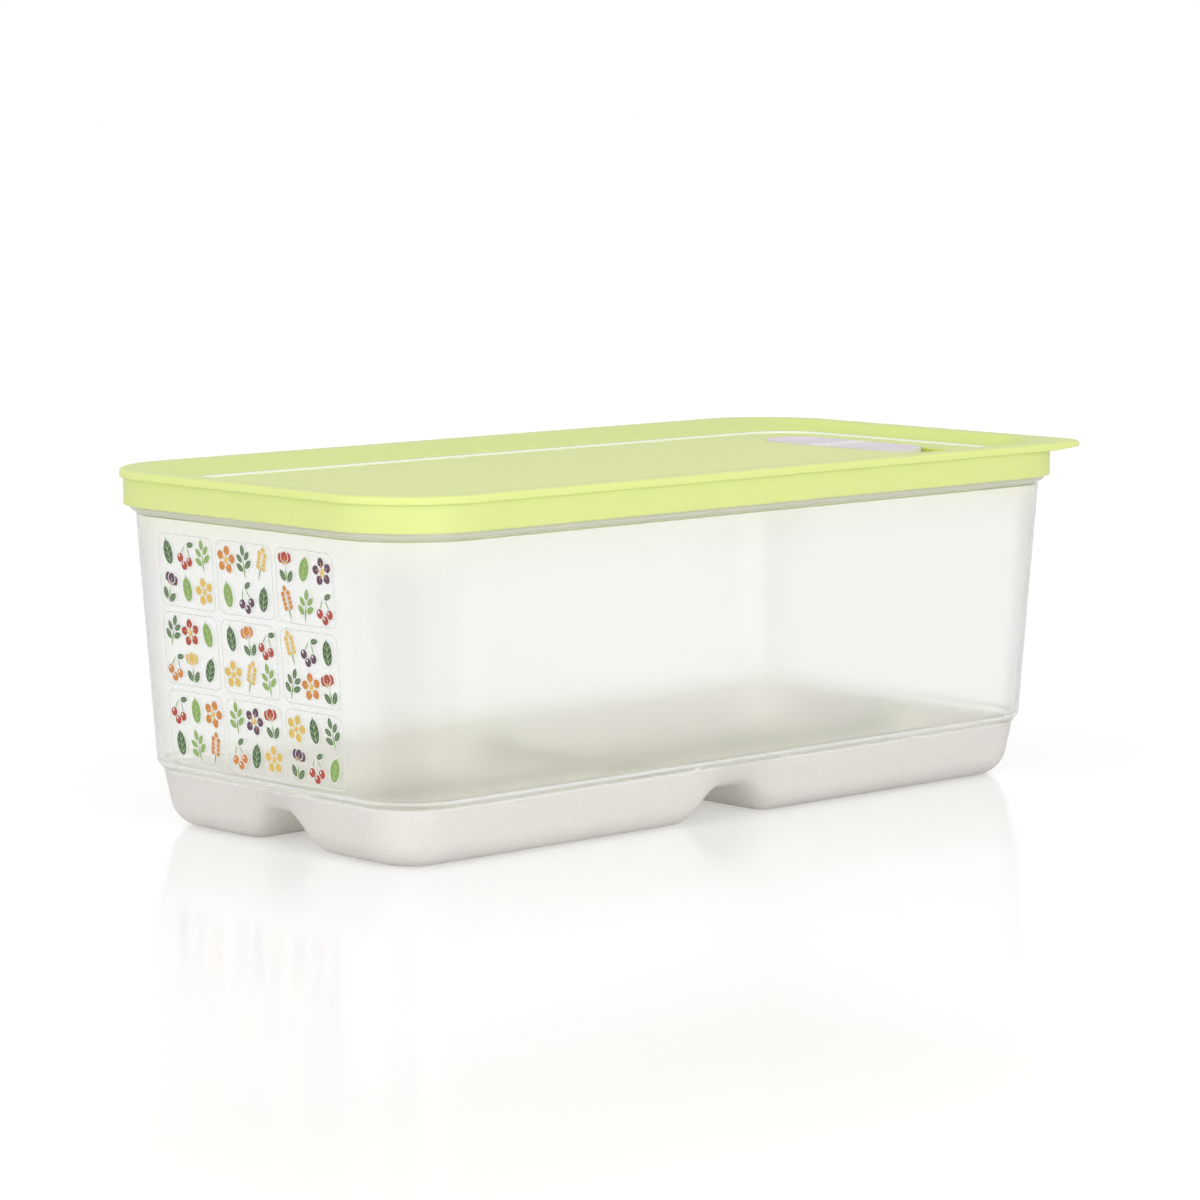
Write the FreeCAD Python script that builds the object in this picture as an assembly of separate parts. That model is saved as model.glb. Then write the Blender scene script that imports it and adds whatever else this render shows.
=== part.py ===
# Ventilated produce container for the fridge: a clear tapered box on four feet, a press-on lid
# with a sunk panel and a corner tab, and a vent slider that runs in a pocket of the lid.
# Millimetres, +Z up, +X along the length. The origin is on the floor, under the middle.
import FreeCAD
import Part
import math
import os

# Lid outline: skirt, flange and pull tab
overall_height = 135.7
skirt_length = 365.0
skirt_width = 182.0
skirt_radius = 37.0
skirt_thickness = 1.8
skirt_drop = 13.3
flange_overhang = 1.4
flange_thickness = 3.0
flange_edge_round = 1.2
flange_edge_steps = 3
tab_radius = 13.4
tab_thickness = 2.0

# Lid panel, sunk so that the feet of a second container stand inside the crest
panel_depth = 5.4
panel_side_inset = 21.5
panel_end_inset = 10.0
panel_radius = 25.0
crest_inset = 7.0
lid_wall = 1.5
bead_width = 1.4
bead_height = 0.6

# Vent slider, held by a tongue along each long side in an undercut pocket of the panel
slider_length = 78.0
slider_width = 27.0
slider_thickness = 2.6
slider_rise = 0.4
slider_travel = 15.0
slider_clearance = 0.25
slider_chamfer = 0.4
tongue_reach = 1.0
tongue_thickness = 1.0
pocket_end_inset = 39.5
pocket_floor = 1.4
pocket_wall = 1.6

# Two hollows in the slider's top, with a bridge between them for a fingertip
bridge_width = 11.0
hollow_rim = 2.2
hollow_depth = 1.2
hollow_slope = 1.4
hollow_corner_radius = 3.0

# Vent holes through the pocket's floor, under the slider at rest
vent_count = 2
vent_radius = 2.0
vent_pitch = 7.0
vent_end_gap = 1.2

# Container wall, rim and step, as insets from the skirt's outer face
wall = 1.8
rim_clearance = 0.35
seat_clearance = 0.2
rim_show = 1.0
rim_slope_height = 2.6
wall_top_inset = 4.5
wall_bottom_inset = 11.5
step_height = 3.0
step_bottom = 22.0
step_inset = 14.0

# Base and its four feet, divided by a cross of channels
base_inset = 18.5
channel_height = 11.5
channel_width = 34.0
channel_ceiling_width = 18.0
foot_round = 10.0

# Low ribs that keep produce out of the condensate in the four wells
rib_count = 3
rib_pitch = 11.0
rib_width = 2.4
rib_height = 2.2
rib_end_gap = 14.0

# How far a cut runs past the face that it opens
overrun = 1.0

skirt_bottom = overall_height - skirt_drop
flange_bottom = overall_height - flange_thickness
panel_top = overall_height - panel_depth
rim_top = flange_bottom - seat_clearance
rim_inset = skirt_thickness + rim_clearance
rim_band_bottom = skirt_bottom - rim_show
rim_slope_bottom = rim_band_bottom - rim_slope_height
step_top = step_bottom + step_height
pocket_centre_x = skirt_length / 2 - pocket_end_inset
pocket_depth = slider_thickness + slider_clearance - slider_rise
pocket_bottom = panel_top - pocket_depth
pocket_length = slider_length + slider_travel + 2 * slider_clearance
pocket_width = slider_width + 2 * slider_clearance
undercut_height = tongue_thickness + 2 * slider_clearance
slider_rest_y = slider_travel / 2
slider_straight = slider_length - slider_width

UP = FreeCAD.Vector(0, 0, 1)
touch = 1e-6


def point(x, y, z):
    return FreeCAD.Vector(x, y, z)


def rounded_wire(corners, radii):
    """Closed wire through the corners, each rounded by a tangent arc of its own radius or sharp at zero."""
    arcs = []
    for index, corner in enumerate(corners):
        before = (corners[index - 1] - corner).normalize()
        after = (corners[(index + 1) % len(corners)] - corner).normalize()
        half_angle = before.getAngle(after) / 2
        reach = radii[index] / math.tan(half_angle)
        rise = radii[index] / math.sin(half_angle) - radii[index]
        middle = corner + (before + after).normalize() * rise
        arcs.append((corner + before * reach, middle, corner + after * reach))
    edges = []
    for index, (start, middle, end) in enumerate(arcs):
        if radii[index] > 0:
            edges.append(Part.Arc(start, middle, end).toShape())
        following = arcs[(index + 1) % len(arcs)][0]
        if end.distanceToPoint(following) > touch:
            edges.append(Part.LineSegment(end, following).toShape())
    return Part.Wire(edges)


def rectangle(low_x, high_x, low_y, high_y, z, radii):
    """Rounded rectangle at height z; the radii start at (low, low) and go round by +X."""
    places = ((low_x, low_y), (high_x, low_y), (high_x, high_y), (low_x, high_y))
    return rounded_wire([point(x, y, z) for x, y in places], radii)


def outline(side_inset, end_inset, radii, z):
    """Rounded rectangle about the origin, inset from the skirt's outer faces."""
    half_x = skirt_length / 2 - end_inset
    half_y = skirt_width / 2 - side_inset
    return rectangle(-half_x, half_x, -half_y, half_y, z, radii)


def even_outline(inset, z):
    """Outline at one inset all round, its corners concentric with the skirt's."""
    return outline(inset, inset, [skirt_radius - inset] * 4, z)


def slot_outline(length, width, centre_y, z):
    """Slot along Y with round ends, over the pocket's centre line."""
    half_x = width / 2
    half_y = length / 2
    low_x = pocket_centre_x - half_x
    high_x = pocket_centre_x + half_x
    return rectangle(low_x, high_x, centre_y - half_y, centre_y + half_y, z, [half_x] * 4)


def prism(wire, height):
    return Part.Face(wire).extrude(UP * height)


def ruled_solid(wires):
    """Solid ruled between level wires, with its flat sides made true planes."""
    faces = []
    for face in Part.makeLoft(wires, True, True).Faces:
        plane = face.findPlane()
        faces.append(Part.Face(plane, face.OuterWire) if plane else face)
    shell = Part.makeShell(faces)
    shell.sewShape()
    return Part.makeSolid(shell)


def level_edges(shape, z):
    """Edges of a shape that lie at height z."""
    found = []
    for edge in shape.Edges:
        box = edge.BoundBox
        if box.ZMax - z < touch and z - box.ZMin < touch:
            found.append(edge)
    return found


def joined(first, others):
    return first.fuse(others).removeSplitter()


def base_inset_at(z):
    """Inset of the base's drafted side at height z."""
    return step_inset + (base_inset - step_inset) * (step_bottom - z) / step_bottom


def rising_edges(shape, places):
    """Edges of a shape that rise from the given places."""
    found = []
    for edge in shape.Edges:
        lowest = min(edge.Vertexes, key=lambda vertex: vertex.Z)
        rise = edge.BoundBox.ZLength
        if rise > touch and any(lowest.Point.distanceToPoint(place) < touch for place in places):
            found.append(edge)
    return found


def foot_form(sign_x, sign_y, offset):
    """One foot below the channel ceiling, shrunk inwards by offset for the well inside it."""
    half_width = channel_width / 2
    half_ceiling = channel_ceiling_width / 2
    slope = math.atan2(channel_height, half_width - half_ceiling)
    spread = offset * math.tan(slope / 2)
    rings = []
    sections = []
    for z, flank in ((offset, half_width + spread), (channel_height + offset, half_ceiling + spread)):
        inset = base_inset_at(z) + offset
        far_x = skirt_length / 2 - inset
        far_y = skirt_width / 2 - inset
        places = ((flank, flank), (far_x, flank), (far_x, far_y), (flank, far_y))
        rings.append([point(sign_x * x, sign_y * y, z) for x, y in places])
        sections.append(rounded_wire(rings[-1], [0, 0, skirt_radius - inset, 0]))
    foot = ruled_solid(sections)
    edges = level_edges(foot, offset) + rising_edges(foot, [rings[0][1], rings[0][3]])
    return foot.makeFillet(foot_round - offset, edges)


def container_form(offset, top):
    """Box with its step and rim on four feet, shrunk inwards by offset for the hollow."""
    ceiling = channel_height + offset
    levels = [
        (ceiling, base_inset_at(ceiling)),
        (step_bottom, step_inset),
        (step_top, wall_bottom_inset),
        (rim_slope_bottom, wall_top_inset),
        (rim_band_bottom, rim_inset),
        (top, rim_inset),
    ]
    body = ruled_solid([even_outline(inset + offset, z) for z, inset in levels])
    feet = [foot_form(sign_x, sign_y, offset) for sign_x in (1, -1) for sign_y in (1, -1)]
    return joined(body, feet)


def well_ribs():
    """Low bars along the length of each well's floor."""
    start_x = channel_width / 2 + rib_end_gap
    end_x = skirt_length / 2 - base_inset - foot_round - rib_end_gap
    middle_y = (channel_width / 2 + skirt_width / 2 - base_inset) / 2
    half_width = rib_width / 2
    ribs = []
    for sign_x in (1, -1):
        low_x, high_x = sorted((sign_x * start_x, sign_x * end_x))
        for sign_y in (1, -1):
            for index in range(rib_count):
                y = sign_y * (middle_y + (index - (rib_count - 1) / 2) * rib_pitch)
                wire = rectangle(low_x, high_x, y - half_width, y + half_width, wall / 2, [0] * 4)
                ribs.append(prism(wire, wall / 2 + rib_height))
    return ribs


def container():
    hollow = container_form(wall, rim_top + overrun)
    return joined(container_form(0, rim_top).cut(hollow), well_ribs())


def flange_outline(inset, z):
    """Edge of the flange; one corner is squared off as the pull tab."""
    reach = flange_overhang - inset
    radii = [skirt_radius + reach] * 4
    radii[1] = tab_radius - inset
    return outline(-reach, -reach, radii, z)


def flange():
    """Plate round the top of the lid, with its upper edge rounded in steps."""
    sections = [flange_outline(0, flange_bottom)]
    for step in range(flange_edge_steps + 1):
        turn = math.pi / 2 * step / flange_edge_steps
        inset = flange_edge_round * (1 - math.cos(turn))
        sections.append(flange_outline(inset, overall_height - flange_edge_round * (1 - math.sin(turn))))
    return ruled_solid(sections)


def tab_taper():
    """Wedge under the pull tab, from the skirt's corner out to the tab's tip."""
    out = point(1, -1, 0).normalize()
    across = out.cross(UP)
    half_x = skirt_length / 2
    half_y = skirt_width / 2
    reach = flange_overhang - tab_radius
    start = point(half_x - skirt_radius, skirt_radius - half_y, flange_bottom) + out * skirt_radius
    tip = point(half_x + reach, -half_y - reach, flange_bottom) + out * tab_radius
    end = tip + (tip - start)
    rise = 2 * (flange_thickness - tab_thickness)
    side = [start, end, end + UP * rise]
    face = Part.Face(Part.makePolygon([place - across * skirt_radius for place in side + side[:1]]))
    return face.extrude(across * 2 * skirt_radius)


def skirt():
    outer = prism(even_outline(0, skirt_bottom), skirt_drop - flange_thickness)
    return outer.cut(prism(even_outline(skirt_thickness, skirt_bottom), skirt_drop))


def panel_outline(offset, z):
    """Edge of the panel's floor, grown by offset."""
    return outline(panel_side_inset - offset, panel_end_inset - offset, [panel_radius + offset] * 4, z)


def dish(offset):
    """Sunk form from the crest down to the panel, grown by offset for the wall under it."""
    floor = panel_outline(offset, panel_top - offset)
    return ruled_solid([floor, even_outline(crest_inset - offset, overall_height - offset)])


def sunk_panel():
    return dish(0).fuse(prism(even_outline(crest_inset, overall_height), overrun))


def panel_bead():
    """Raised line round the panel's floor."""
    ring = prism(panel_outline(-bead_width, panel_top - lid_wall / 2), bead_height + lid_wall / 2)
    inner = prism(panel_outline(-2 * bead_width, panel_top - lid_wall), bead_height + 2 * lid_wall)
    return ring.cut(inner)


def pocket_boss():
    width = pocket_width + 2 * (tongue_reach + pocket_wall)
    length = pocket_length + 2 * (tongue_reach + pocket_wall)
    return prism(slot_outline(length, width, 0, pocket_bottom - pocket_floor), pocket_depth + pocket_floor)


def tongue_bar(width, length, centre_y, z, height):
    """Bar as wide as the two tongues, over the pocket's centre line."""
    low_x = pocket_centre_x - width / 2
    low_y = centre_y - length / 2
    return prism(rectangle(low_x, low_x + width, low_y, low_y + length, z, [0] * 4), height)


def pocket_hollow():
    """Slot for the slider, wider at its floor along the sides so that the tongues are held."""
    mouth = prism(slot_outline(pocket_length, pocket_width, 0, pocket_bottom), pocket_depth + overrun)
    width = pocket_width + 2 * tongue_reach
    length = slider_straight + slider_travel + 2 * slider_clearance
    return mouth.fuse(tongue_bar(width, length, 0, pocket_bottom, undercut_height))


def vent_holes():
    holes = []
    for index in range(vent_count):
        y = pocket_length / 2 - vent_end_gap - vent_radius - index * vent_pitch
        centre = point(pocket_centre_x, y, pocket_bottom - pocket_floor - overrun)
        holes.append(Part.makeCylinder(vent_radius, pocket_floor + 2 * overrun, centre))
    return holes


def lid():
    shell = joined(flange().cut(tab_taper()), [skirt(), dish(lid_wall)]).cut(sunk_panel())
    shell = joined(shell, [panel_bead(), pocket_boss()])
    return shell.cut([pocket_hollow()] + vent_holes()).removeSplitter()


def slider_hollows():
    """Sloping-sided hollows on both sides of the bridge, inside the slider's rim."""
    top = panel_top + slider_rise
    hollows = []
    for sign in (1, -1):
        sections = []
        for inset, z in ((hollow_slope, top - hollow_depth), (0, top), (0, top + overrun)):
            half_x = slider_width / 2 - hollow_rim - inset
            near_y = slider_rest_y + sign * (bridge_width / 2 + inset)
            far_y = slider_rest_y + sign * (slider_length / 2 - hollow_rim - inset)
            near_radius = hollow_corner_radius - inset
            radii = [near_radius, near_radius, half_x, half_x][::sign]
            low_x = pocket_centre_x - half_x
            high_x = pocket_centre_x + half_x
            sections.append(rectangle(low_x, high_x, min(near_y, far_y), max(near_y, far_y), z, radii))
        hollows.append(ruled_solid(sections))
    return hollows


def vent_slider():
    bottom = pocket_bottom + slider_clearance
    plate = prism(slot_outline(slider_length, slider_width, slider_rest_y, bottom), slider_thickness)
    plate = plate.makeChamfer(slider_chamfer, level_edges(plate, bottom + slider_thickness))
    width = slider_width + 2 * tongue_reach
    tongues = tongue_bar(width, slider_straight, slider_rest_y, bottom, tongue_thickness)
    return plate.fuse(tongues).cut(slider_hollows()).removeSplitter()


def main():
    os.makedirs("parts", exist_ok=True)
    nodes = {"container": container(), "lid": lid(), "vent_slider": vent_slider()}
    for name, shape in nodes.items():
        print(name, len(shape.Solids), "solid, valid", shape.isValid(), "volume", round(shape.Volume))
        shape.exportStep("parts/" + name + ".step")


main()
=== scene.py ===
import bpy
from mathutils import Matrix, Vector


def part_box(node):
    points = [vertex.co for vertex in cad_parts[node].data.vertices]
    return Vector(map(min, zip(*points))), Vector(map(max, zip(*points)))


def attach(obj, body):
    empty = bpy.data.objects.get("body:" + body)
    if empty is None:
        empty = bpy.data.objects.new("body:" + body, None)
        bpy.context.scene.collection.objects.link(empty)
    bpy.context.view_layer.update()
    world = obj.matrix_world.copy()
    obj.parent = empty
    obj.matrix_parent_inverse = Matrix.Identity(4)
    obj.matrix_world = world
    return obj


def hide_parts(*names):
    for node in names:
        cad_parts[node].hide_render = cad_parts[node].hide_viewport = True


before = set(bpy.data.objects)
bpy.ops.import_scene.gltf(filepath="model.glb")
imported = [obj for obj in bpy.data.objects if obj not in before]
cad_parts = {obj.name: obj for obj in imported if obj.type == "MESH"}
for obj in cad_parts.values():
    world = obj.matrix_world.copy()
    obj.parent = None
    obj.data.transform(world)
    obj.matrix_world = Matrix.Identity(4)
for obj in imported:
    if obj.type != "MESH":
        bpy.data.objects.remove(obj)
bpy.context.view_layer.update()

import math
import bmesh
import bpy
from mathutils import Matrix, Vector

MM = 0.001

# Places read from the frame, in metres
container_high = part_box("container")[1]
rim_top = container_high.z
rim_half_length = container_high.x
rim_half_width = container_high.y
lid_low, lid_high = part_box("lid")
slider_low, slider_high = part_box("vent_slider")

# Vent slider, its bridge, and the pocket that it runs in
slider_middle = (slider_low.y + slider_high.y) / 2
bridge_highlight_half = 5.2 * MM
pocket_margin = 1.0 * MM
pocket_middle = (slider_low.x + slider_high.x) / 2
pocket_half_width = (slider_high.x - slider_low.x) / 2 + pocket_margin
pocket_half_length = slider_high.y + pocket_margin

# Container moulding: heights above the floor, and insets from the rim's outer face
wall = 1.8 * MM
rim_corner_radius = 34.85 * MM
rim_band_bottom = 120.6 * MM
rim_slope_bottom = 119.6 * MM
wall_top_inset = 2.35 * MM
step_top = 25.0 * MM
wall_bottom_inset = 9.35 * MM
step_bottom = 22.0 * MM
step_inset = 11.85 * MM
base_inset = 16.35 * MM
foot_round = 12.0 * MM
channel_height = 11.5 * MM
long_channel_halves = (4.0 * MM, 22.0 * MM)
cross_channel_halves = (6.0 * MM, 24.0 * MM)
mouth_depth = 3.0 * MM
mouth_spread = 10.0 * MM
edge_round = 0.9 * MM
edge_angle = math.radians(27)

# Mesh of the container: cuts close together over the channels, wide apart beyond them
corner_segments = 24
foot_segments = 10
corner_margin = 4.0 * MM
flat_half_length = rim_half_length - rim_corner_radius - corner_margin
flat_half_width = rim_half_width - rim_corner_radius - corner_margin
close_reach = 30.0 * MM
close_step = 1.5 * MM
wide_cuts_x = (40.0 * MM, 60.0 * MM, 85.0 * MM, 115.0 * MM, flat_half_length)
wide_cuts_y = (40.0 * MM, flat_half_width)
corner_zone = 1.0 * MM
weld_distance = 0.01 * MM

# Where the clear plastic changes its look: milky bends, the painted glow of the lid's light, painted shade
# on the corners, the frosting
ledge_middle = (rim_slope_bottom + lid_low.z) / 2
ledge_reach = (lid_low.z - rim_slope_bottom) / 2
step_top_reach = 0.45 * MM
step_bottom_reach = 0.4 * MM
painted_glow_depth = 15.0 * MM
corner_shade_fade = 14.0 * MM
frost_fade = 0.5 * MM

# Ribs on the floors of the wells
rib_length = 109.0 * MM
rib_width = 2.4 * MM
rib_height = 2.2 * MM
rib_round = 0.9 * MM
rib_middle_x = 85.5 * MM
rib_places_y = (33.75 * MM, 44.75 * MM, 55.75 * MM)

# Sunk panel of the lid
panel_depth = 5.4 * MM
panel_top = lid_high.z - panel_depth
panel_reach = 0.2 * MM
pocket_start = 0.3 * MM

# Raised line round the panel
bead_half_length = 171.3 * MM
bead_half_width = 68.3 * MM
bead_corner_radius = 23.8 * MM
bead_width = 1.8 * MM
bead_height = 1.0 * MM
bead_foot = 0.3 * MM
bead_round = 0.7 * MM

# Printed guide on the end wall: nine framed fields, sizes along the wall
guide_middle_y = 2.0 * MM
guide_middle_z = 70.5 * MM
field_width = 32.4 * MM
field_height = 27.6 * MM
field_gap = 1.9 * MM
field_corner_radius = 3.5 * MM
frame_line = 0.45 * MM
motif_pitch_x = 10.2 * MM
motif_pitch_y = 13.2 * MM
motif_size = 0.92
motif_turns = (14, -10, 4, -18, 9)
ink_thickness = 0.05 * MM
ink_layer = 0.01 * MM

# Studio: light from all round, and what the floor adds to show white
world_level = 0.62
floor_lift = 0.25
floor_size = 40

# Softboxes: name, place in metres, power in watts, width in metres
softboxes = (
    ("key_softbox", (-0.5, -1.7, 0.5), 13, 1.2),
    ("side_softbox", (-1.7, 0.1, 0.5), 6.3, 1.0),
)

# Camera of the photo's view: lens and sensor in millimetres, places in metres
camera_lens = 128.43
camera_sensor = 36
camera_near = 0.1
camera_far = 50
camera_place = (-1.1383, -1.2079, 0.2807)
camera_target = (-0.00177, -0.00007, 0.0781)


def linear(hex_colour):
    """Linear RGBA of an sRGB colour such as "e7f19c"."""
    channels = [int(hex_colour[start:start + 2], 16) / 255 for start in (0, 2, 4)]
    return [c / 12.92 if c <= 0.04045 else ((c + 0.055) / 1.055) ** 2.4 for c in channels] + [1.0]


def add_node(tree, kind, inputs=(), **settings):
    """Adds a shader node; inputs are (socket, value) pairs, and a socket as the value is linked."""
    made = tree.nodes.new("ShaderNode" + kind)
    for name, value in settings.items():
        setattr(made, name, value)
    for name, value in inputs:
        if isinstance(value, bpy.types.NodeSocket):
            tree.links.new(value, made.inputs[name])
        else:
            made.inputs[name].default_value = value
    return made


def new_material(name):
    material = bpy.data.materials.new(name)
    material.use_nodes = True
    material.node_tree.nodes.clear()
    return material, material.node_tree


def give(piece, material):
    piece.data.materials.clear()
    piece.data.materials.append(material)


def deselect():
    bpy.ops.object.select_all(action="DESELECT")


def select_vertices(piece, test):
    """In edit mode, selects the vertices whose place passes the test."""
    bpy.ops.mesh.select_all(action="DESELECT")
    mesh = bmesh.from_edit_mesh(piece.data)
    for vertex in mesh.verts:
        vertex.select = test(vertex.co)
    mesh.select_flush_mode()
    bmesh.update_edit_mesh(piece.data)


def apply_modifier(piece, kind, **settings):
    modifier = piece.modifiers.new(kind.lower(), kind)
    for name, value in settings.items():
        setattr(modifier, name, value)
    bpy.context.view_layer.objects.active = piece
    bpy.ops.object.modifier_apply(modifier=modifier.name)


def copy_to(piece, matrix):
    """A copy of a piece with its own mesh, set down by the matrix."""
    copy = piece.copy()
    copy.data = piece.data.copy()
    copy.data.transform(matrix)
    bpy.context.scene.collection.objects.link(copy)
    return copy


def join(pieces, name):
    deselect()
    for piece in pieces:
        piece.select_set(True)
    bpy.context.view_layer.objects.active = pieces[0]
    bpy.ops.object.join()
    pieces[0].name = name
    return pieces[0]


# Container

def cut_places(wide_cuts):
    """Places of the cuts along one axis: close together over the channel, wide apart beyond it."""
    count = round(close_reach / close_step)
    close_cuts = [index * close_step for index in range(-count, count + 1)]
    return close_cuts + [sign * place for place in wide_cuts for sign in (1, -1)]


def base_profile():
    """Levels of the base below the step: a drafted side, then a quarter round to the floor."""
    draft = math.atan2(base_inset - step_inset, step_bottom)
    turn = math.pi / 2 - draft
    reach = foot_round * math.tan(turn / 2)
    centre_inset = base_inset + reach
    levels = []
    for index in range(foot_segments + 1):
        angle = draft + turn * index / foot_segments
        levels.append((foot_round * (1 - math.sin(angle)), centre_inset - foot_round * math.cos(angle)))
    return levels


def blend(distance, near, far):
    """Smooth fall from 1 at the near distance to 0 at the far one."""
    share = min(max((distance - near) / (far - near), 0), 1)
    return (1 + math.cos(math.pi * share)) / 2


def raise_channels(shell):
    """Lifts the crossed channels into the base, and draws the walls in at their mouths."""
    foot_x = rim_half_length - base_inset - foot_round
    foot_y = rim_half_width - base_inset - foot_round
    mouth_x = cross_channel_halves[1] + mouth_spread
    mouth_y = long_channel_halves[1] + mouth_spread
    for vertex in shell.data.vertices:
        place = vertex.co
        low = 1 - place.z / step_bottom
        if low > 0:
            across_x, across_y = abs(place.x), abs(place.y)
            beside_long = 1 - blend(across_y, *long_channel_halves)
            beside_cross = 1 - blend(across_x, *cross_channel_halves)
            draw_x = (1 - blend(across_x, flat_half_length, foot_x)) * blend(across_y, 0, mouth_y)
            draw_y = (1 - blend(across_y, flat_half_width, foot_y)) * blend(across_x, 0, mouth_x)
            place.x -= math.copysign(mouth_depth * draw_x * low, place.x)
            place.y -= math.copysign(mouth_depth * draw_y * low, place.y)
            place.z += channel_height * (1 - beside_long * beside_cross) * low


def container_shell():
    """Tapered box on four soft-edged feet: a sheet stepped down from the rim, then given its wall."""
    deselect()
    bpy.ops.mesh.primitive_plane_add(size=2)
    shell = bpy.context.object
    shell.name = "container_shell"
    bpy.ops.object.mode_set(mode="EDIT")
    bpy.ops.transform.resize(value=(rim_half_length, rim_half_width, 1))
    bpy.ops.transform.translate(value=(0, 0, rim_top))
    for place in cut_places(wide_cuts_x):
        bpy.ops.mesh.select_all(action="SELECT")
        bpy.ops.mesh.bisect(plane_co=(place, 0, rim_top), plane_no=(1, 0, 0))
    for place in cut_places(wide_cuts_y):
        bpy.ops.mesh.select_all(action="SELECT")
        bpy.ops.mesh.bisect(plane_co=(0, place, rim_top), plane_no=(0, 1, 0))
    edge_x = rim_half_length - corner_zone
    edge_y = rim_half_width - corner_zone
    select_vertices(shell, lambda place: abs(place.x) > edge_x and abs(place.y) > edge_y)
    bpy.ops.mesh.bevel(offset=rim_corner_radius, segments=corner_segments, affect="VERTICES",
                       clamp_overlap=False)
    levels = [(rim_band_bottom, 0), (rim_slope_bottom, wall_top_inset), (step_top, wall_bottom_inset),
              (step_bottom, step_inset)] + base_profile()
    bpy.ops.mesh.select_all(action="SELECT")
    height, inset = rim_top, 0
    for next_height, next_inset in levels:
        bpy.ops.mesh.inset(thickness=next_inset - inset, depth=next_height - height, use_even_offset=True)
        height, inset = next_height, next_inset
    bpy.ops.mesh.select_all(action="SELECT")
    bpy.ops.mesh.remove_doubles(threshold=weld_distance)
    bpy.ops.mesh.flip_normals()
    bpy.ops.object.mode_set(mode="OBJECT")
    raise_channels(shell)
    apply_modifier(shell, "SOLIDIFY", thickness=wall, offset=-1, use_even_offset=True,
                   use_quality_normals=True)
    apply_modifier(shell, "BEVEL", width=edge_round, segments=3, limit_method="ANGLE",
                   angle_limit=edge_angle, use_clamp_overlap=True)
    bpy.ops.object.shade_smooth()
    apply_modifier(shell, "WEIGHTED_NORMAL", keep_sharp=True)
    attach(shell, "container")
    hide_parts("container")
    return shell


def floor_ribs():
    """Low bars with rounded tops along the floors of the four wells, sunk halfway into the floor."""
    deselect()
    bpy.ops.mesh.primitive_cube_add(size=1)
    rib = bpy.context.object
    bpy.ops.object.mode_set(mode="EDIT")
    bpy.ops.transform.resize(value=(rib_length, rib_width, rib_height + wall / 2))
    bpy.ops.transform.translate(value=(0, 0, wall + rib_height / 2 - wall / 4))
    select_vertices(rib, lambda place: place.z > wall)
    bpy.ops.mesh.bevel(offset=rib_round, segments=3, affect="EDGES")
    bpy.ops.object.mode_set(mode="OBJECT")
    bpy.ops.object.shade_smooth()
    ribs = []
    for sign_x in (1, -1):
        for sign_y in (1, -1):
            for place_y in rib_places_y:
                ribs.append(copy_to(rib, Matrix.Translation((sign_x * rib_middle_x, sign_y * place_y, 0))))
    bpy.data.objects.remove(rib)
    bars = join(ribs, "floor_ribs")
    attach(bars, "container")
    return bars


# Lid

def panel_bead():
    """Raised polished line round the panel."""
    deselect()
    bpy.ops.mesh.primitive_plane_add(size=2)
    bead = bpy.context.object
    bead.name = "panel_bead"
    bpy.ops.object.mode_set(mode="EDIT")
    bpy.ops.transform.resize(value=(bead_half_length, bead_half_width, 1))
    bpy.ops.transform.translate(value=(0, 0, panel_top + bead_height))
    bpy.ops.mesh.bevel(offset=bead_corner_radius, segments=16, affect="VERTICES")
    bpy.ops.mesh.select_all(action="SELECT")
    bpy.ops.mesh.inset(thickness=bead_width)
    bpy.ops.mesh.delete(type="FACE")
    bpy.ops.object.mode_set(mode="OBJECT")
    apply_modifier(bead, "SOLIDIFY", thickness=bead_height + bead_foot, offset=-1)
    apply_modifier(bead, "BEVEL", width=bead_round, segments=4, limit_method="ANGLE")
    bpy.ops.object.shade_smooth()
    apply_modifier(bead, "WEIGHTED_NORMAL", keep_sharp=True)
    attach(bead, "lid")
    return bead


# Printed guide

def assign_slot(piece, slot):
    """In edit mode, gives the selected faces one of the piece's materials."""
    piece.active_material_index = slot
    bpy.ops.object.material_slot_assign()


def start_shape(points, width, length, inks):
    """Flat oval in edit mode, with the inks as its materials."""
    deselect()
    bpy.ops.mesh.primitive_circle_add(vertices=points, radius=0.5, fill_type="NGON")
    shape = bpy.context.object
    for ink in inks:
        shape.data.materials.append(ink)
    bpy.ops.object.mode_set(mode="EDIT")
    bpy.ops.transform.resize(value=(width, length, 1))
    return shape


def edge_shape(shape, edge):
    """Leaves a white edge round a flat shape and inks the rest."""
    bpy.ops.mesh.select_all(action="SELECT")
    bpy.ops.mesh.inset(thickness=edge)
    assign_slot(shape, 1)


def leaf_shape(inks):
    """Pointed leaf, 12 mm long, with a pale midrib and veins."""
    tip_start = 5.2 * MM
    tip_reach = 1.4 * MM
    vein_width = 0.22 * MM
    # Veins: x, y and length in mm, lean in degrees
    veins = [(0, 0, 8.6, 0), (1.0, 2.2, 2.6, 45), (-1.0, 2.2, 2.6, -45), (1.1, -0.3, 3.0, 45),
             (-1.1, -0.3, 3.0, -45), (0.9, -2.7, 2.4, 45), (-0.9, -2.7, 2.4, -45)]
    leaf = start_shape(24, 6.4 * MM, 10.6 * MM, inks)
    select_vertices(leaf, lambda place: place.y > tip_start)
    bpy.ops.transform.translate(value=(0, tip_reach, 0))
    edge_shape(leaf, 0.5 * MM)
    for x, y, length, lean in veins:
        bpy.ops.mesh.primitive_plane_add(size=1)
        bpy.ops.transform.resize(value=(vein_width, length * MM, 1))
        bpy.ops.transform.rotate(value=math.radians(lean), orient_axis="Z", center_override=(0, 0, 0))
        bpy.ops.transform.translate(value=(x * MM, y * MM, ink_layer))
        assign_slot(leaf, 2)
    bpy.ops.object.mode_set(mode="OBJECT")
    return leaf


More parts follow.
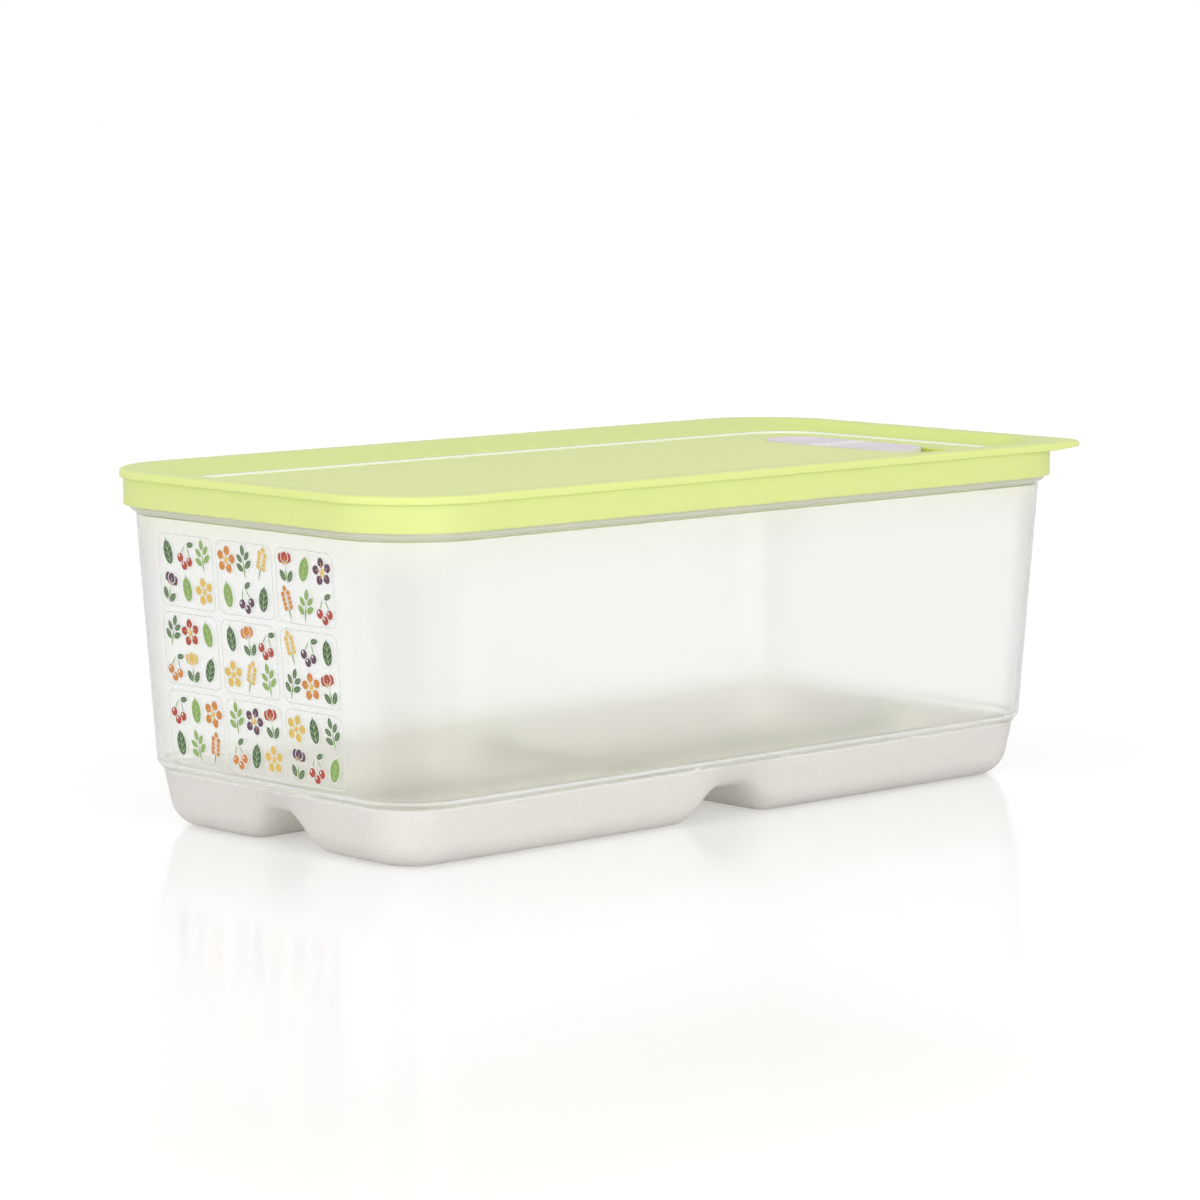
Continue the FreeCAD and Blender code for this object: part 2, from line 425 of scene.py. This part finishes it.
def petal_shape(inks):
    """Petal, 6 mm long, narrow at its foot, with a fold line."""
    foot_end = -1.6 * MM
    foot_share = 0.5
    fold_width = 0.3 * MM
    fold_length = 2.6 * MM
    fold_middle = -1.0 * MM
    petal = start_shape(20, 5.0 * MM, 6.0 * MM, inks)
    select_vertices(petal, lambda place: place.y < foot_end)
    bpy.ops.transform.resize(value=(foot_share, 1, 1))
    edge_shape(petal, 0.4 * MM)
    bpy.ops.mesh.primitive_plane_add(size=1)
    bpy.ops.transform.resize(value=(fold_width, fold_length, 1))
    bpy.ops.transform.translate(value=(0, fold_middle, ink_layer))
    assign_slot(petal, 2)
    bpy.ops.object.mode_set(mode="OBJECT")
    return petal


def berry_shape(inks):
    """Round berry, 4.6 mm across, with a highlight."""
    highlight_radius = 0.45 * MM
    highlight_stretch = 1.5
    highlight_place = (-0.7 * MM, 0.7 * MM, ink_layer)
    berry = start_shape(20, 4.6 * MM, 4.6 * MM, inks)
    edge_shape(berry, 0.4 * MM)
    bpy.ops.mesh.primitive_circle_add(vertices=10, radius=highlight_radius, fill_type="NGON")
    bpy.ops.transform.resize(value=(1, highlight_stretch, 1))
    bpy.ops.transform.translate(value=highlight_place)
    assign_slot(berry, 2)
    bpy.ops.object.mode_set(mode="OBJECT")
    return berry


def stem_shape(inks):
    """Thin stem, 9 mm long, wider at its foot."""
    thin_start = 2.0 * MM
    thin_share = 0.75
    stem = start_shape(12, 1.5 * MM, 9.0 * MM, inks)
    select_vertices(stem, lambda place: place.y > thin_start)
    bpy.ops.transform.resize(value=(thin_share, 1, 1))
    edge_shape(stem, 0.32 * MM)
    bpy.ops.object.mode_set(mode="OBJECT")
    return stem


# Parts of each motif: shape, ink or None for the motif's own, x and y in mm, turn in degrees, size
motifs = {
    "leaf": [("leaf", None, 0, 0, 0, 1.0)],
    "sprig": [("stem", "leaf_green", 0, -2.5, 0, 1.0), ("leaf", None, -2.6, -2.3, 52, 0.46),
              ("leaf", None, 2.6, -1.1, -52, 0.46), ("leaf", None, -2.3, 1.3, 44, 0.42),
              ("leaf", None, 2.3, 2.3, -44, 0.42), ("leaf", None, 0, 4.5, 0, 0.44)],
    "blossom": [("petal", None, 3.4 * math.sin(turn), 3.4 * math.cos(turn), -math.degrees(turn), 0.86)
                for turn in (0, 0.4 * math.pi, 0.8 * math.pi, 1.2 * math.pi, 1.6 * math.pi)]
               + [("berry", "yellow", 0, 0, 0, 0.7)],
    "berries": [("stem", "leaf_green", -1.6, 1.7, -24, 0.66), ("stem", "leaf_green", 1.7, 1.5, 26, 0.66),
                ("leaf", "deep_green", 2.6, 4.5, -70, 0.42), ("berry", None, -2.9, -2.1, 0, 1.0),
                ("berry", None, 2.9, -2.5, 0, 1.0), ("berry", None, 0, -4.7, 0, 0.95)],
    "bud": [("stem", "leaf_green", 0, -2.8, 0, 0.9), ("leaf", "deep_green", -2.2, -3.2, 32, 0.5),
            ("leaf", "deep_green", 2.2, -3.6, -32, 0.5), ("petal", None, -1.9, 3.4, 24, 0.95),
            ("petal", None, 1.9, 3.4, -24, 0.95), ("petal", None, 0, 3.8, 0, 0.95)],
    "ear": [("stem", "leaf_green", 0, -3.4, 0, 0.85)]
           + [("petal", None, side * 1.5, -1.6 + 1.8 * step, -34 * side, 0.54)
              for step in range(4) for side in (1, -1)]
           + [("petal", None, 0, 5.8, 0, 0.54)],
}

# Motifs of each field, row by row from the top, three above and three below
fields = [
    "leaf deep_green, berries red, sprig leaf_green, bud plum, leaf leaf_green, blossom yellow",
    "blossom orange, sprig deep_green, ear yellow, leaf leaf_green, berries plum, leaf deep_green",
    "bud red, leaf leaf_green, blossom plum, ear orange, sprig leaf_green, berries red",
    "sprig deep_green, blossom red, leaf leaf_green, berries orange, bud yellow, leaf deep_green",
    "leaf deep_green, bud orange, berries red, blossom yellow, ear yellow, sprig leaf_green",
    "ear yellow, berries plum, leaf deep_green, sprig deep_green, blossom orange, bud red",
    "berries red, leaf leaf_green, blossom orange, leaf deep_green, sprig leaf_green, ear orange",
    "sprig leaf_green, blossom plum, bud red, berries orange, leaf deep_green, blossom yellow",
    "blossom yellow, leaf deep_green, sprig deep_green, bud plum, berries red, leaf leaf_green",
]


def field_frame(inks):
    """Thin line round a field, with rounded corners."""
    deselect()
    bpy.ops.mesh.primitive_plane_add(size=1)
    line = bpy.context.object
    line.data.materials.append(inks["white"])
    bpy.ops.object.mode_set(mode="EDIT")
    bpy.ops.transform.resize(value=(field_width, field_height, 1))
    bpy.ops.mesh.bevel(offset=field_corner_radius, segments=6, affect="VERTICES")
    bpy.ops.mesh.select_all(action="SELECT")
    bpy.ops.mesh.inset(thickness=frame_line)
    bpy.ops.mesh.delete(type="FACE")
    bpy.ops.object.mode_set(mode="OBJECT")
    return line


def set_down(x, y, turn=0, size=1, layer=0):
    """Place on the guide's sheet: x and y in metres, turn in degrees."""
    move = Matrix.Translation((x, y, layer * ink_layer))
    return move @ Matrix.Rotation(math.radians(turn), 4, "Z") @ Matrix.Scale(size, 4)


def wall_place():
    """From the guide's flat sheet to the outside of the end wall, which leans outwards."""
    lean = math.atan2(wall_bottom_inset - wall_top_inset, rim_slope_bottom - step_top)
    share = (guide_middle_z - step_top) / (rim_slope_bottom - step_top)
    inset = wall_bottom_inset + (wall_top_inset - wall_bottom_inset) * share
    right = Vector((0, -1, 0))
    up = Vector((-math.sin(lean), 0, math.cos(lean)))
    out = right.cross(up)
    sheet = Matrix((right, up, out)).transposed().to_4x4()
    return Matrix.Translation((inset - rim_half_length, guide_middle_y, guide_middle_z)) @ sheet


def printed_guide(inks):
    """Nine fields of leaves, sprigs, blossoms, berries, buds and ears, one piece to each ink."""
    base = [inks["white"], inks["leaf_green"]]
    shapes = {
        "leaf": leaf_shape(base + [inks["pale_green"]]),
        "petal": petal_shape(base + [inks["yellow"]]),
        "berry": berry_shape(base + [inks["white"]]),
        "stem": stem_shape(base),
    }
    line = field_frame(inks)
    copies = []
    for index, field in enumerate(fields):
        field_x = (index % 3 - 1) * (field_width + field_gap)
        field_y = (1 - index // 3) * (field_height + field_gap)
        copies.append(copy_to(line, set_down(field_x, field_y)))
        for place, (motif, ink) in enumerate(entry.split() for entry in field.split(", ")):
            x = field_x + (place % 3 - 1) * motif_pitch_x
            y = field_y + (0.5 - place // 3) * motif_pitch_y
            turn = motif_turns[(index + place) % len(motif_turns)]
            for layer, (shape, own_ink, part_x, part_y, part_turn, size) in enumerate(motifs[motif]):
                part = set_down(part_x * MM, part_y * MM, part_turn, size, 2 * layer)
                copy = copy_to(shapes[shape], set_down(x, y, turn, motif_size) @ part)
                copy.data.materials[1] = inks[own_ink or ink]
                copies.append(copy)
    for shape in [line] + list(shapes.values()):
        bpy.data.objects.remove(shape)
    sheet = join(copies, "printed_sheet")
    sheet.data.transform(wall_place())
    bpy.ops.object.mode_set(mode="EDIT")
    bpy.ops.mesh.separate(type="MATERIAL")
    bpy.ops.object.mode_set(mode="OBJECT")
    for piece in list(bpy.context.selected_objects):
        ink = piece.data.materials[piece.data.polygons[0].material_index]
        give(piece, ink)
        piece.name = "printed_" + ink.name
        apply_modifier(piece, "SOLIDIFY", thickness=2 * ink_thickness, offset=0)
        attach(piece, "container")


def printed_inks():
    """Screen-printed inks: opaque, satin, a little mottled where the film lies thick and thin."""
    shades = {
        "white": ("eff1ec", "e4e7e1"),
        "deep_green": ("37553a", "4b6c48"),
        "leaf_green": ("7aa04a", "93b55c"),
        "pale_green": ("b9cf8c", "cadca4"),
        "red": ("a83a2c", "c0503a"),
        "orange": ("d07a33", "dd9448"),
        "yellow": ("e2b84e", "eccb72"),
        "plum": ("54324a", "6d4660"),
    }
    inks = {}
    for name, (dark, light) in shades.items():
        material, tree = new_material("ink_" + name)
        place = add_node(tree, "TexCoord").outputs["Object"]
        # Mottle 1.2 mm across, coarser than the real 0.3 mm so that it shows
        mottle = add_node(tree, "TexNoise", [("Vector", place), ("Scale", 1 / (1.2 * MM)), ("Detail", 2.0)])
        tint = add_node(tree, "Mix", [
            ("Factor", mottle.outputs[0]), ("A", linear(dark)), ("B", linear(light))], data_type="RGBA")
        ink = add_node(tree, "BsdfPrincipled", [
            ("Base Color", tint.outputs["Result"]), ("Roughness", 0.38), ("IOR", 1.5)])
        add_node(tree, "OutputMaterial", [("Surface", ink.outputs[0])])
        inks[name] = material
    return inks


def clear_polypropylene():
    """Injection-moulded polypropylene: hazy and see-through above the step, frosted below it."""
    material, tree = new_material("clear_polypropylene")
    place = add_node(tree, "TexCoord").outputs["Object"]
    apart = add_node(tree, "SeparateXYZ", [("Vector", place)]).outputs
    height = apart["Z"]
    # The frosting starts at the lower edge of the step
    frosted = add_node(tree, "MapRange", [
        ("Value", height), ("From Min", step_bottom), ("From Max", step_bottom - frost_fade)]).outputs[0]
    # Etched grain 0.7 mm across, coarser than the real 0.2 mm so that it shows
    grain = add_node(tree, "TexNoise", [("Vector", place), ("Scale", 1 / (0.7 * MM)), ("Detail", 2.0)])
    rough = add_node(tree, "MapRange", [("Value", frosted), ("To Min", 0.13), ("To Max", 0.55)])
    through = add_node(tree, "MapRange", [("Value", frosted), ("To Min", 0.92), ("To Max", 0.45)])
    # The bent edges of the step and of the rim's ledge look milky
    clarity = through.outputs[0]
    bends = ((step_top, step_top_reach), (step_bottom, step_bottom_reach), (ledge_middle, ledge_reach))
    for bend, reach in bends:
        near = add_node(tree, "Math", [(0, height), (1, bend), (2, reach)], operation="COMPARE")
        milky = add_node(tree, "MapRange", [("Value", near.outputs[0]), ("To Min", 1.0), ("To Max", 0.45)])
        hazed = add_node(tree, "Math", [(0, clarity), (1, milky.outputs[0])], operation="MULTIPLY")
        clarity = hazed.outputs[0]
    relief = add_node(tree, "MapRange", [("Value", frosted), ("To Min", 0.01), ("To Max", 0.25)])
    bump = add_node(tree, "Bump", [
        ("Height", grain.outputs[0]), ("Strength", relief.outputs[0]), ("Distance", 0.1 * MM)])
    # Painted light: the lid's lime light is painted into the ledge under its skirt, and painted as a glow
    # that fades down the wall below
    ledge = add_node(tree, "Math", [(0, height), (1, ledge_middle), (2, ledge_reach)], operation="COMPARE")
    under = add_node(tree, "Math", [(0, height), (1, lid_low.z)], operation="LESS_THAN")
    glow = add_node(tree, "MapRange", [
        ("Value", height), ("From Min", rim_slope_bottom - painted_glow_depth), ("From Max", rim_slope_bottom),
        ("To Max", under.outputs[0])])
    # Painted shade: the rounded corners are painted a little greyer, for the light lost where more plastic
    # lies in its way
    painted_corner_shade = 1.0
    for along, half in ((apart["X"], rim_half_length), (apart["Y"], rim_half_width)):
        out = add_node(tree, "Math", [(0, along)], operation="ABSOLUTE")
        painted_corner_shade = add_node(tree, "MapRange", [
            ("Value", out.outputs[0]), ("From Min", half - rim_corner_radius),
            ("From Max", half - rim_corner_radius + corner_shade_fade), ("To Max", painted_corner_shade)]).outputs[0]
    clear_with_corner_shade = add_node(tree, "Mix", [
        ("Factor", painted_corner_shade), ("A", linear("fefefd")), ("B", linear("f3f2f0"))], data_type="RGBA")
    # Painted light and shade: the corner shade and the lid's painted glow go into the wall's colour
    wall_painted_light = add_node(tree, "Mix", [
        ("Factor", glow.outputs[0]), ("A", clear_with_corner_shade.outputs["Result"]), ("B", linear("fcfcf2"))],
        data_type="RGBA")
    # Painted light: the ledge is painted with the lid's lime tint
    above = add_node(tree, "Mix", [
        ("Factor", ledge.outputs[0]), ("A", wall_painted_light.outputs["Result"]), ("B", linear("f6f8e4"))],
        data_type="RGBA")
    # The frosted base is speckled by its grain
    speckle = add_node(tree, "MapRange", [
        ("Value", grain.outputs[0]), ("From Min", 0.35), ("From Max", 0.65)])
    below = add_node(tree, "Mix", [
        ("Factor", speckle.outputs[0]), ("A", linear("f4f0ed")), ("B", linear("fffefc"))], data_type="RGBA")
    tint = add_node(tree, "Mix", [
        ("Factor", frosted), ("A", above.outputs["Result"]), ("B", below.outputs["Result"])],
        data_type="RGBA")
    plastic = add_node(tree, "BsdfPrincipled", [
        ("Base Color", tint.outputs["Result"]), ("Roughness", rough.outputs[0]), ("IOR", 1.49),
        ("Transmission Weight", clarity), ("Normal", bump.outputs[0])])
    # Its shadow is pale, because light passes through it
    shade = add_node(tree, "Mix", [
        ("Factor", frosted), ("A", linear("f4f4f2")), ("B", linear("d2d0cc"))], data_type="RGBA")
    clear = add_node(tree, "BsdfTransparent", [("Color", shade.outputs["Result"])])
    rays = add_node(tree, "LightPath")
    either = add_node(tree, "MixShader", [
        (0, rays.outputs["Is Shadow Ray"]), (1, plastic.outputs[0]), (2, clear.outputs[0])])
    add_node(tree, "OutputMaterial", [("Surface", either.outputs[0])])
    return material


def lime_polyethylene():
    """Flexible moulded polyethylene: satin, light glows a little way into it, grained on the panel."""
    material, tree = new_material("lime_polyethylene")
    about = add_node(tree, "TexCoord")
    place = about.outputs["Object"]
    apart = add_node(tree, "SeparateXYZ", [("Vector", place)]).outputs
    height = apart["Z"]
    # The sunk panel: faces at its level that look up
    upward = add_node(tree, "SeparateXYZ", [("Vector", about.outputs["Normal"])]).outputs["Z"]
    level = add_node(tree, "Math", [(0, height), (1, panel_top), (2, panel_reach)], operation="COMPARE")
    panel = add_node(tree, "Math", [
        (0, level.outputs[0]), (1, upward)], operation="MULTIPLY", use_clamp=True).outputs[0]
    # Painted light: the pocket's faces are painted lighter, for the light that shines up through its thin
    # floor
    inside = [(apart["X"], pocket_middle, pocket_half_width), (apart["Y"], 0, pocket_half_length)]
    sunk = add_node(tree, "Math", [(0, height), (1, panel_top - pocket_start)], operation="LESS_THAN")
    painted_pocket_light = sunk.outputs[0]
    for socket, middle, reach in inside:
        near = add_node(tree, "Math", [(0, socket), (1, middle), (2, reach)], operation="COMPARE")
        painted_pocket_light = add_node(tree, "Math", [(0, painted_pocket_light), (1, near.outputs[0])], operation="MULTIPLY").outputs[0]
    # Spark-eroded grain 0.8 mm across, coarser than the real 0.15 mm so that it shows
    grain = add_node(tree, "TexNoise", [("Vector", place), ("Scale", 1 / (0.8 * MM)), ("Detail", 3.0)])
    edge = add_node(tree, "Bevel", [("Radius", 0.6 * MM)], samples=4)
    relief = add_node(tree, "MapRange", [("Value", panel), ("To Min", 0.06), ("To Max", 0.22)])
    bump = add_node(tree, "Bump", [
        ("Height", grain.outputs[0]), ("Strength", relief.outputs[0]), ("Distance", 0.1 * MM),
        ("Normal", edge.outputs[0])])
    lime = add_node(tree, "Mix", [
        ("Factor", grain.outputs[0]), ("A", linear("e2ef93")), ("B", linear("e8f4a3"))], data_type="RGBA")
    # Painted sheen: the panel is painted paler than the rest of the lid, for the light its real grain
    # scatters
    pale = add_node(tree, "Mix", [
        ("Factor", grain.outputs[0]), ("A", linear("e6f79a")), ("B", linear("efffae"))], data_type="RGBA")
    outer = add_node(tree, "Mix", [
        ("Factor", panel), ("A", lime.outputs["Result"]), ("B", pale.outputs["Result"])], data_type="RGBA")
    tint = add_node(tree, "Mix", [
        ("Factor", painted_pocket_light), ("A", outer.outputs["Result"]), ("B", linear("f2ffa0"))], data_type="RGBA")
    rough = add_node(tree, "MapRange", [("Value", panel), ("To Min", 0.52), ("To Max", 0.6)])
    plastic = add_node(tree, "BsdfPrincipled", [
        ("Base Color", tint.outputs["Result"]), ("Roughness", rough.outputs[0]), ("IOR", 1.51),
        ("Subsurface Weight", 0.8), ("Subsurface Radius", (1.0, 1.0, 0.4)), ("Subsurface Scale", 3.0 * MM),
        ("Normal", bump.outputs[0])])
    add_node(tree, "OutputMaterial", [("Surface", plastic.outputs[0])])
    return material


def polished_polyethylene_painted_highlight():
    """The lid's plastic where the mould is polished: glossy, with a near-white painted highlight as the
    raised line's colour.
    """
    material, tree = new_material("polished_polyethylene_painted_highlight")
    place = add_node(tree, "TexCoord").outputs["Object"]
    # Flow waves 6 mm long
    waves = add_node(tree, "TexNoise", [("Vector", place), ("Scale", 1 / (6 * MM)), ("Detail", 1.0)])
    # Painted highlight: the raised line is painted near white
    tint = add_node(tree, "Mix", [
        ("Factor", waves.outputs[0]), ("A", linear("fafcf0")), ("B", linear("fdfef8"))], data_type="RGBA")
    plastic = add_node(tree, "BsdfPrincipled", [
        ("Base Color", tint.outputs["Result"]), ("Roughness", 0.18), ("IOR", 1.51)])
    add_node(tree, "OutputMaterial", [("Surface", plastic.outputs[0])])
    return material


def lilac_polypropylene():
    """Moulded polypropylene: satin lilac, with a painted highlight that makes the bridge pale."""
    material, tree = new_material("lilac_polypropylene")
    place = add_node(tree, "TexCoord").outputs["Object"]
    # Spark-eroded grain 0.8 mm across, coarser than the real 0.15 mm so that it shows
    grain = add_node(tree, "TexNoise", [("Vector", place), ("Scale", 1 / (0.8 * MM)), ("Detail", 3.0)])
    edge = add_node(tree, "Bevel", [("Radius", 0.4 * MM)], samples=4)
    bump = add_node(tree, "Bump", [
        ("Height", grain.outputs[0]), ("Strength", 0.1), ("Distance", 0.1 * MM),
        ("Normal", edge.outputs[0])])
    along = add_node(tree, "SeparateXYZ", [("Vector", place)]).outputs["Y"]
    # Painted highlight: the bridge is painted paler than the rest of the slider
    bridge = add_node(tree, "Math", [(0, along), (1, slider_middle), (2, bridge_highlight_half)], operation="COMPARE")
    tint = add_node(tree, "Mix", [
        ("Factor", bridge.outputs[0]), ("A", linear("ece2eb")), ("B", linear("fbf8fb"))], data_type="RGBA")
    plastic = add_node(tree, "BsdfPrincipled", [
        ("Base Color", tint.outputs["Result"]), ("Roughness", 0.4), ("IOR", 1.49),
        ("Normal", bump.outputs[0])])
    add_node(tree, "OutputMaterial", [("Surface", plastic.outputs[0])])
    return material


# Studio

def seen_directly(tree):
    """1 for rays that show a surface to the eye: from the camera, or by way of gloss or a clear wall."""
    rays = add_node(tree, "LightPath")
    glossy = add_node(tree, "Math", [
        (0, rays.outputs["Is Camera Ray"]), (1, rays.outputs["Is Glossy Ray"])], operation="MAXIMUM")
    clear = add_node(tree, "Math", [
        (0, glossy.outputs[0]), (1, rays.outputs["Is Transmission Ray"])], operation="MAXIMUM")
    return clear.outputs[0]


def floor():
    """Glossy white sheet that mirrors the foot of the part faintly."""
    deselect()
    bpy.ops.mesh.primitive_plane_add(size=floor_size)
    plane = bpy.context.object
    plane.name = "floor"
    material, tree = new_material("white_floor")
    sheet = add_node(tree, "BsdfPrincipled", [
        ("Base Color", linear("f2f2f2")), ("Roughness", 0.14), ("Specular IOR Level", 0.18)])
    level = add_node(tree, "Math", [(0, seen_directly(tree)), (1, floor_lift)], operation="MULTIPLY")
    lift = add_node(tree, "Emission", [("Strength", level.outputs[0])])
    both = add_node(tree, "AddShader", [(0, sheet.outputs[0]), (1, lift.outputs[0])])
    add_node(tree, "OutputMaterial", [("Surface", both.outputs[0])])
    give(plane, material)


def softbox(name, place, energy, size):
    """Square lamp aimed at the middle of the container."""
    lamp = bpy.data.lights.new(name, "AREA")
    lamp.energy = energy
    lamp.size = size
    box = bpy.data.objects.new(name, lamp)
    bpy.context.scene.collection.objects.link(box)
    box.location = place
    box.rotation_euler = (Vector((0, 0, lid_low.z / 2)) - box.location).to_track_quat("-Z", "Y").to_euler()


def studio():
    scene = bpy.context.scene
    scene.view_settings.view_transform = "Standard"
    scene.world = bpy.data.worlds.new("studio_white")
    scene.world.use_nodes = True
    tree = scene.world.node_tree
    tree.nodes.clear()
    level = add_node(tree, "MapRange", [
        ("Value", seen_directly(tree)), ("To Min", world_level), ("To Max", 1.0)])
    glow = add_node(tree, "Background", [("Color", (1, 1, 1, 1)), ("Strength", level.outputs[0])])
    add_node(tree, "OutputWorld", [("Surface", glow.outputs[0])])
    for name, place, energy, size in softboxes:
        softbox(name, place, energy, size)


def camera():
    view = bpy.data.cameras.new("camera")
    view.lens = camera_lens
    view.sensor_width = camera_sensor
    view.clip_start = camera_near
    view.clip_end = camera_far
    seat = bpy.data.objects.new("camera", view)
    bpy.context.scene.collection.objects.link(seat)
    seat.location = camera_place
    seat.rotation_euler = (Vector(camera_target) - seat.location).to_track_quat("-Z", "Y").to_euler()
    bpy.context.scene.camera = seat


clear_plastic = clear_polypropylene()
give(container_shell(), clear_plastic)
give(floor_ribs(), clear_plastic)
give(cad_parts["lid"], lime_polyethylene())
give(panel_bead(), polished_polyethylene_painted_highlight())
give(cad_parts["vent_slider"], lilac_polypropylene())
printed_guide(printed_inks())
floor()
studio()
camera()
